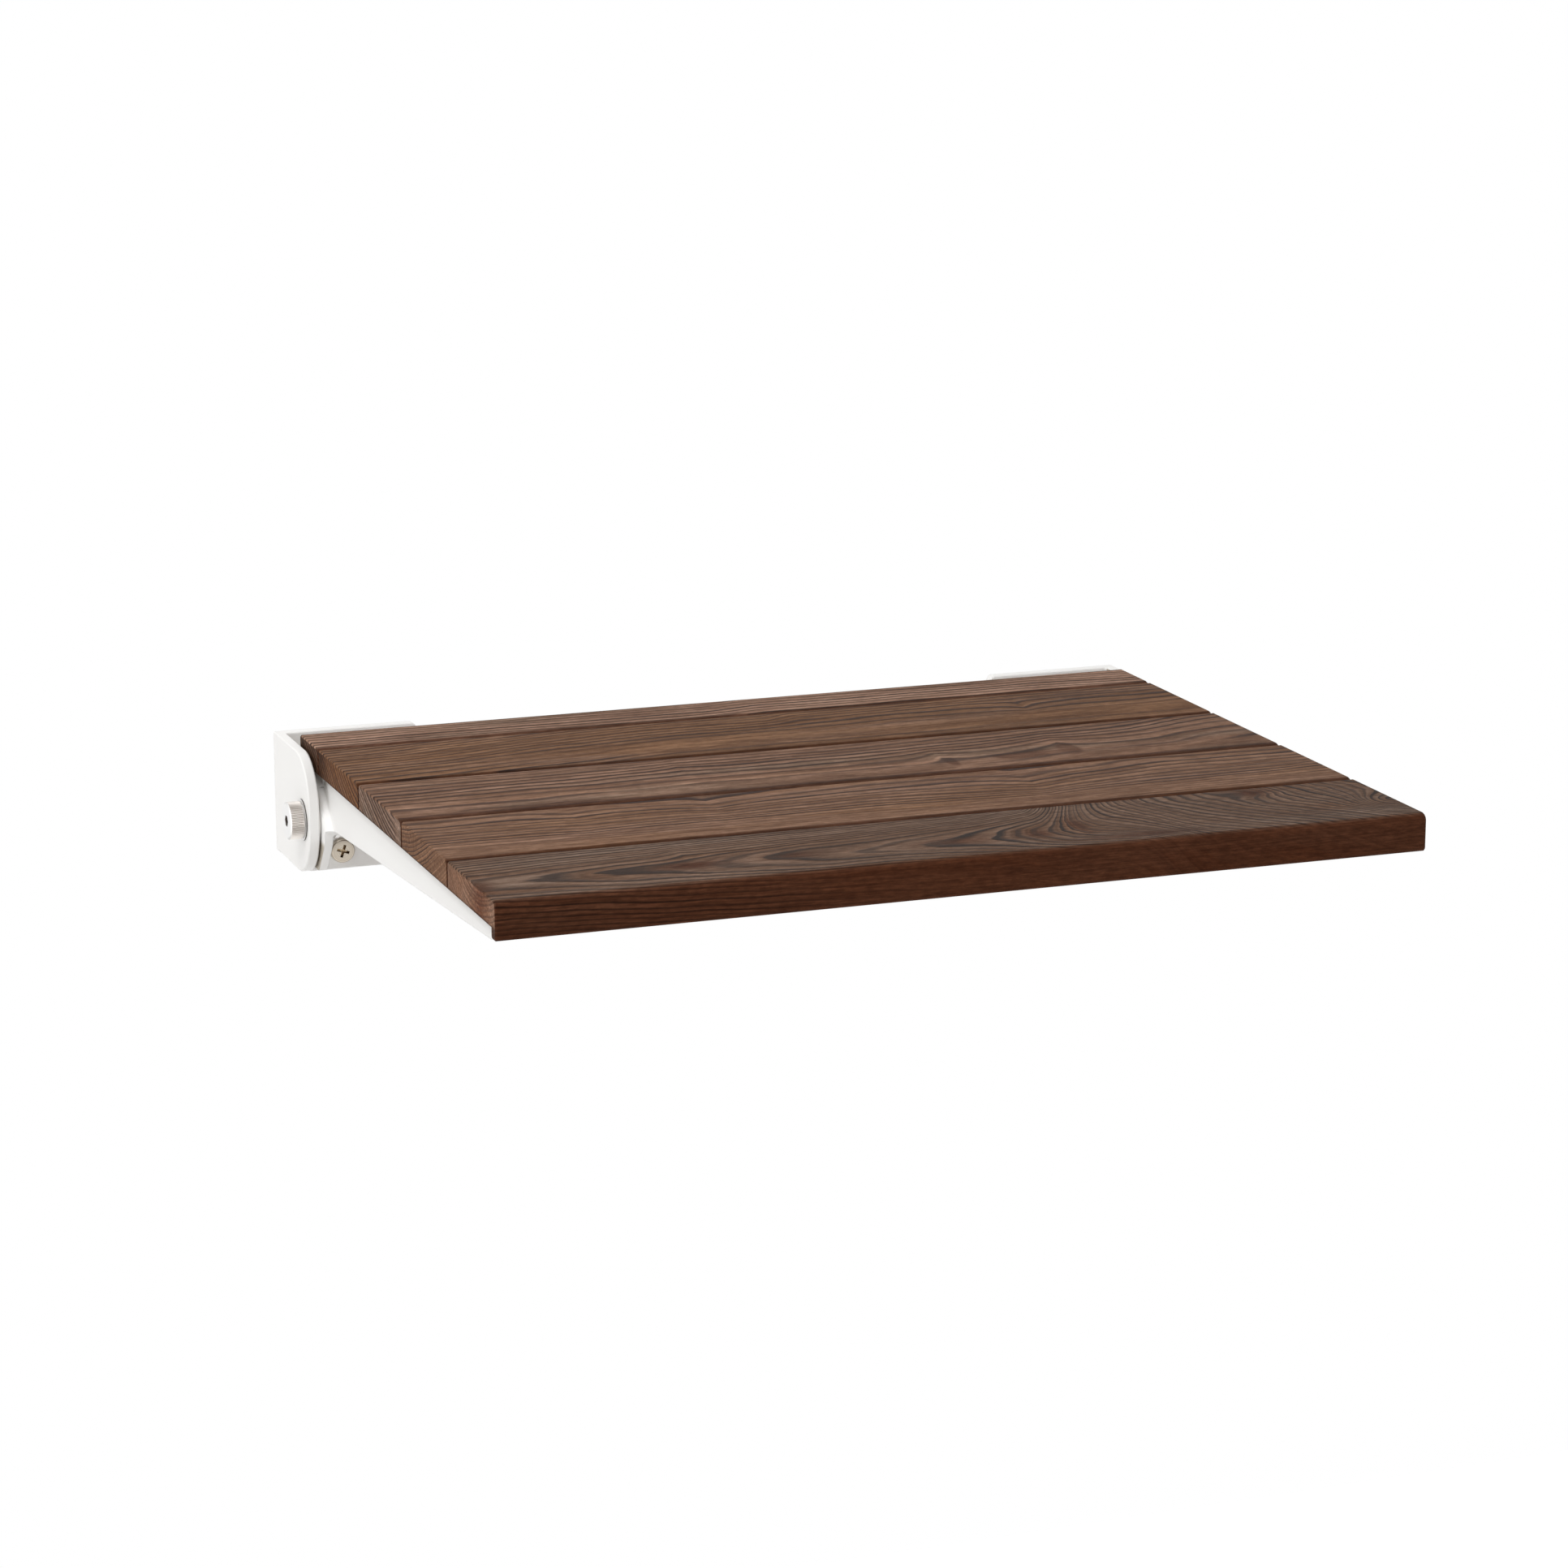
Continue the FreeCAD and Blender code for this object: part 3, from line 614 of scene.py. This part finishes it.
def turned(name, vertices, rings):
    """A solid turned about Z, through rings of (height, radius) from one end to the other."""
    bpy.ops.object.select_all(action="DESELECT")
    height, radius = rings[0]
    bpy.ops.mesh.primitive_circle_add(
        vertices=vertices, radius=radius, fill_type="NGON", location=(0, 0, height)
    )
    piece = bpy.context.object
    piece.name = name
    bpy.ops.object.transform_apply()
    bpy.ops.object.mode_set(mode="EDIT")
    bpy.ops.mesh.select_all(action="SELECT")
    for next_height, next_radius in rings[1:]:
        bpy.ops.mesh.extrude_region_move(TRANSFORM_OT_translate={"value": (0, 0, next_height - height)})
        share = next_radius / radius
        bpy.ops.transform.resize(value=(share, share, 1), center_override=(0, 0, next_height))
        height, radius = next_height, next_radius
    bpy.ops.mesh.select_all(action="SELECT")
    bpy.ops.mesh.normals_make_consistent(inside=False)
    bpy.ops.object.mode_set(mode="OBJECT")
    return piece


def cut(piece, cutter):
    bpy.context.view_layer.objects.active = piece
    change = piece.modifiers.new("cut", "BOOLEAN")
    change.operation = "DIFFERENCE"
    change.object = cutter
    bpy.ops.object.modifier_apply(modifier=change.name)
    bpy.data.objects.remove(cutter)


def thread_ridge(root, crest, pitch, low, high, steps):
    """The ridge of a thread, wound round Z from low to high."""
    bpy.ops.object.select_all(action="DESELECT")
    bpy.ops.mesh.primitive_circle_add(vertices=3, radius=1, rotation=(math.radians(90), math.radians(90), 0))
    ridge = bpy.context.object
    sunk = (crest - root) * 1.25
    ridge.scale = (pitch * 0.8 / math.sqrt(3), sunk / 1.5, 1)
    ridge.location = (crest - sunk / 1.5, 0, low)
    bpy.ops.object.transform_apply()
    winding = ridge.modifiers.new("winding", "SCREW")
    winding.screw_offset = pitch
    winding.iterations = int((high - low) / pitch)
    winding.steps = winding.render_steps = steps
    winding.use_smooth_shade = False
    bpy.ops.object.modifier_apply(modifier=winding.name)
    bpy.ops.object.mode_set(mode="EDIT")
    bpy.ops.mesh.select_all(action="SELECT")
    bpy.ops.mesh.fill_holes(sides=3)
    bpy.ops.mesh.normals_make_consistent(inside=False)
    bpy.ops.object.mode_set(mode="OBJECT")
    return ridge


def joined(pieces, name):
    bpy.ops.object.select_all(action="DESELECT")
    for piece in pieces:
        piece.select_set(True)
    bpy.context.view_layer.objects.active = pieces[0]
    bpy.ops.object.join()
    pieces[0].name = name
    return pieces[0]


head_radius = 0.009
head_height = 0.0072
head_chamfer = 0.0006
knurl_teeth = 70
knurl_depth = 0.00032
socket_radius = 0.005 / math.sqrt(3)
socket_depth = 0.003
shoulder_radius = 0.006
thread_radius = 0.005
thread_root = 0.0042
thread_pitch = 0.0015
bolt_low, bolt_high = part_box("left_pivot_bolt")
bolt_length = bolt_high.x - bolt_low.x
shoulder_length = 0.0106
pivot_y = (bolt_low.y + bolt_high.y) / 2
pivot_z = (bolt_low.z + bolt_high.z) / 2


def make_pivot_bolt():
    """The bolt along Z, its head's face at the origin and its end at the top."""
    head = turned("pivot_bolt_head", knurl_teeth * 2, [
        (0, head_radius - head_chamfer - knurl_depth), (head_chamfer, head_radius),
        (head_height - head_chamfer, head_radius), (head_height, head_radius - head_chamfer - knurl_depth),
    ])
    tooth = math.pi / knurl_teeth

    def in_groove(place):
        step = round(math.atan2(place.y, place.x) / tooth)
        return step % 2 == 1 and math.hypot(place.x, place.y) > head_radius * 0.99

    pick(head, "VERT", in_groove)
    share = 1 - knurl_depth / head_radius
    bpy.ops.transform.resize(value=(share, share, 1), center_override=(0, 0, head_height / 2))
    bpy.ops.object.mode_set(mode="OBJECT")
    bpy.ops.object.select_all(action="DESELECT")
    bpy.ops.mesh.primitive_cylinder_add(vertices=6, radius=socket_radius, depth=2 * socket_depth)
    cut(head, bpy.context.object)
    shank = turned("pivot_bolt_shank", 64, [
        (head_height - 0.0002, shoulder_radius), (head_height + shoulder_length, shoulder_radius),
        (head_height + shoulder_length, thread_root), (bolt_length - 0.0006, thread_root),
        (bolt_length, thread_root - 0.0006),
    ])
    ridge = thread_ridge(
        thread_root, thread_radius, thread_pitch, head_height + shoulder_length + thread_pitch,
        bolt_length - thread_pitch * 0.4, 32,
    )
    return joined([head, shank, ridge], "pivot_bolt")


def bolt_steel():
    """Bright turned steel, with painted shade in the grooves of the knurl and deep in the socket, and
    a thin painted highlight across the socket's middle."""
    material, shader, wire = surface("bolt_steel")
    x, y, z = wire.place().parts()
    flat = abs(wire.facing().parts()[0]).between(0.55, 0.8)
    radius = ((y - pivot_y) * (y - pivot_y) + (z - pivot_z) * (z - pivot_z)) ** 0.5
    groove_shade = 1.0 - radius.between(head_radius - knurl_depth, head_radius - 0.00005)
    inside = 1.0 - radius.between(socket_radius * 0.98, socket_radius * 1.02)
    below_face = (-bolt_low.x - abs(x)).between(0.0003, 0.0010)
    glint = 1.0 - abs(z - pivot_z).between(0.0001, 0.0005)
    sunk = inside * below_face * (1.0 - glint)
    colour = (groove_shade * 0.9).mixed((0.74, 0.71, 0.68), (0.36, 0.31, 0.27))
    colour = flat.mixed(colour, (0.88, 0.875, 0.865))
    sunk.mixed(colour, (0.07, 0.06, 0.055)).feed(shader.inputs["Base Color"])
    shader.inputs["Metallic"].default_value = 1.0
    (0.32 + (radius * 9000).streaks() * 0.12).feed(shader.inputs["Roughness"])
    return material


pattern = make_pivot_bolt()
finish_with(pattern, bolt_steel())
bpy.context.view_layer.objects.active = pattern
bpy.ops.object.select_all(action="DESELECT")
pattern.select_set(True)
bpy.ops.object.shade_smooth_by_angle(angle=math.radians(30))


def copied(pattern, name, place):
    """A copy of a pattern, with its own mesh, moved and turned by a matrix."""
    piece = pattern.copy()
    piece.data = pattern.data.copy()
    piece.name = name
    bpy.context.scene.collection.objects.link(piece)
    piece.data.transform(place)
    return piece


for side, sign in (("left", -1), ("right", 1)):
    turn = Matrix.Rotation(math.radians(-90 * sign), 4, "Y")
    place = Matrix.Translation((-bolt_low.x * sign, pivot_y, pivot_z))
    bolt = copied(pattern, side + "_knurled_bolt", place @ turn)
    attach(bolt, "wall_mount")
    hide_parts(side + "_pivot_bolt")
bpy.data.objects.remove(pattern)


# The wall screws: cold-headed stainless pan-head screws with a cross recess and a rolled thread,
# four through each back plate into the wall.
def make_pan_head_screw(name, head, shank, recess, finish):
    """The screw along Z, with the seat of its head at the origin and its point below. head is
    (radius, height, top radius, rim height), shank is (crest, root, neck, neck length, length,
    point, pitch), recess is (span, width, depth), and finish is the metal outside the recess."""
    radius, height, top, rim = head
    crest, root, neck, neck_length, length, point, pitch = shank
    span, width, depth = recess
    dome = []
    steps = 7
    for step in range(1, steps + 1):
        angle = math.radians(90 * step / steps)
        dome.append((rim + (height - rim) * math.sin(angle), top + (radius - top) * math.cos(angle)))
    body = turned(name, 48, [
        (-length, root * 0.12), (point - length, root), (-neck_length, root), (-neck_length, neck),
        (0, neck), (0, radius * 0.985), (0.0002, radius), (rim, radius * 0.995), *dome,
    ])
    for turn in (0, 90):
        bpy.ops.object.select_all(action="DESELECT")
        bpy.ops.mesh.primitive_cube_add(size=1, location=(0, 0, height), rotation=(0, 0, math.radians(turn)))
        cutter = bpy.context.object
        cutter.scale = (span, width, 2 * depth)
        bpy.ops.object.transform_apply()
        pick(cutter, "VERT", lambda place: place.z < height)
        bpy.ops.transform.resize(value=(0.62, 0.62, 1), center_override=(0, 0, height - depth))
        bpy.ops.object.mode_set(mode="OBJECT")
        cut(body, cutter)
    finish_with(body, finish)
    # Painted shade: the faces of the cross recess take a dark brown steel.
    body.data.materials.append(recess_shade_steel)
    for face in body.data.polygons:
        reach = math.hypot(face.center.x, face.center.y)
        sunk = reach < span / 2 + 0.0001 and height - depth - 0.0001 < face.center.z < height - 0.0001
        face.material_index = 1 if sunk else 0
    ridge = thread_ridge(root, crest, pitch, -length + pitch * 0.4, -neck_length - pitch * 0.6, 24)
    finish_with(ridge, finish)
    for vertex in ridge.data.vertices:
        if vertex.co.z < point - length:
            share = max(0.12, (vertex.co.z + length) / point)
            vertex.co.x *= share
            vertex.co.y *= share
    screw = joined([body, ridge], name)
    bpy.ops.object.shade_smooth_by_angle(angle=math.radians(30))
    return screw


def screw_set(pattern, name, places, turn, quarter_turns):
    """Copies of a screw at these places, each turned in its own way, as one piece."""
    screws = []
    for number, place in enumerate(places):
        own_turn = Matrix.Rotation(math.radians(quarter_turns[number % len(quarter_turns)]), 4, "Z")
        screws.append(copied(pattern, name, Matrix.Translation(place) @ turn @ own_turn))
    return joined(screws, name)


column_x = (0.1905, 0.1615)
row_z = (-0.0255, 0.0255)


def brushed_screw_steel():
    """Steel brushed in rings round each wall screw's own middle, in a dark warm tone that is a
    painted reflection of the brown seat above it.
    """
    material, shader, wire = surface("wall_screw_steel")
    x, _, z = wire.place().parts()
    middle, half = (column_x[0] + column_x[1]) / 2, (column_x[0] - column_x[1]) / 2
    out = abs(abs(x) - middle) - half
    up = abs(z) - row_z[1]
    rings = ((out * out + up * up) ** 0.5 * 2600).streaks(3.0)
    brushed_and_reflected = rings.between(0.35, 0.65).mixed((0.34, 0.295, 0.24), (0.52, 0.47, 0.40))
    brushed_and_reflected.feed(shader.inputs["Base Color"])
    shader.inputs["Metallic"].default_value = 1.0
    (0.26 + rings * 0.2).feed(shader.inputs["Roughness"])
    return material


# Painted shade: a dark brown steel for the cross recesses of the pan-head screws.
recess_shade_steel = plain_metal("recess_shade_steel", (0.30, 0.225, 0.145), 0.25)
wall_screw = make_pan_head_screw(
    "wall_screw", (0.006, 0.0034, 0.0051, 0.0021),
    (0.003, 0.0022, 0.0024, 0.0054, 0.040, 0.007, 0.0024), (0.0078, 0.0017, 0.0022),
    brushed_screw_steel(),
)
wall_screw_turns = (-18, 23, 41, -35)
into_wall = Matrix.Rotation(math.radians(90), 4, "X")
head_reach = 0.0036
plate_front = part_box("left_wall_screws")[0].y + head_reach
for side, sign in (("left", -1), ("right", 1)):
    places = [(x * sign, plate_front, z) for x in column_x for z in row_z]
    screws = screw_set(wall_screw, side + "_pan_head_wall_screws", places, into_wall, wall_screw_turns)
    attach(screws, "wall_mount")
    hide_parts(side + "_wall_screws")
bpy.data.objects.remove(wall_screw)


# The slat screws: smaller screws of the same kind, up through the flange of each arm into the
# slats, one in the narrow slat at the wall and two in each of the others.
slat_head_height = 0.0028
slat_screw = make_pan_head_screw(
    "slat_screw", (0.00425, slat_head_height, 0.0027, 0.0010),
    (0.00225, 0.0016, 0.00225, 0.0040, 0.0135, 0.003, 0.0018), (0.0046, 0.0011, 0.0017),
    plain_metal("slat_screw_steel", (0.70, 0.68, 0.64), 0.3),
)
slat_screw_spacing = 0.040
slat_screw_turns = (10, 52, 74, 33, 61)
upwards = Matrix.Rotation(math.radians(180), 4, "X")
for side, sign in (("left", -1), ("right", 1)):
    low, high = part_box(side + "_slat_screws")
    line_x = (low.x + high.x) / 2
    seat_z = low.z + slat_head_height
    places = []
    for number in range(1, 6):
        front, rear = (corner.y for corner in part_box("slat_" + str(number)))
        offsets = (0,) if number == 1 else (slat_screw_spacing / 2, -slat_screw_spacing / 2)
        places += [(line_x, (front + rear) / 2 + offset, seat_z) for offset in offsets]
    screws = screw_set(slat_screw, side + "_slat_screw_row", places, upwards, slat_screw_turns)
    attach(screws, "seat")
    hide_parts(side + "_slat_screws")
bpy.data.objects.remove(slat_screw)
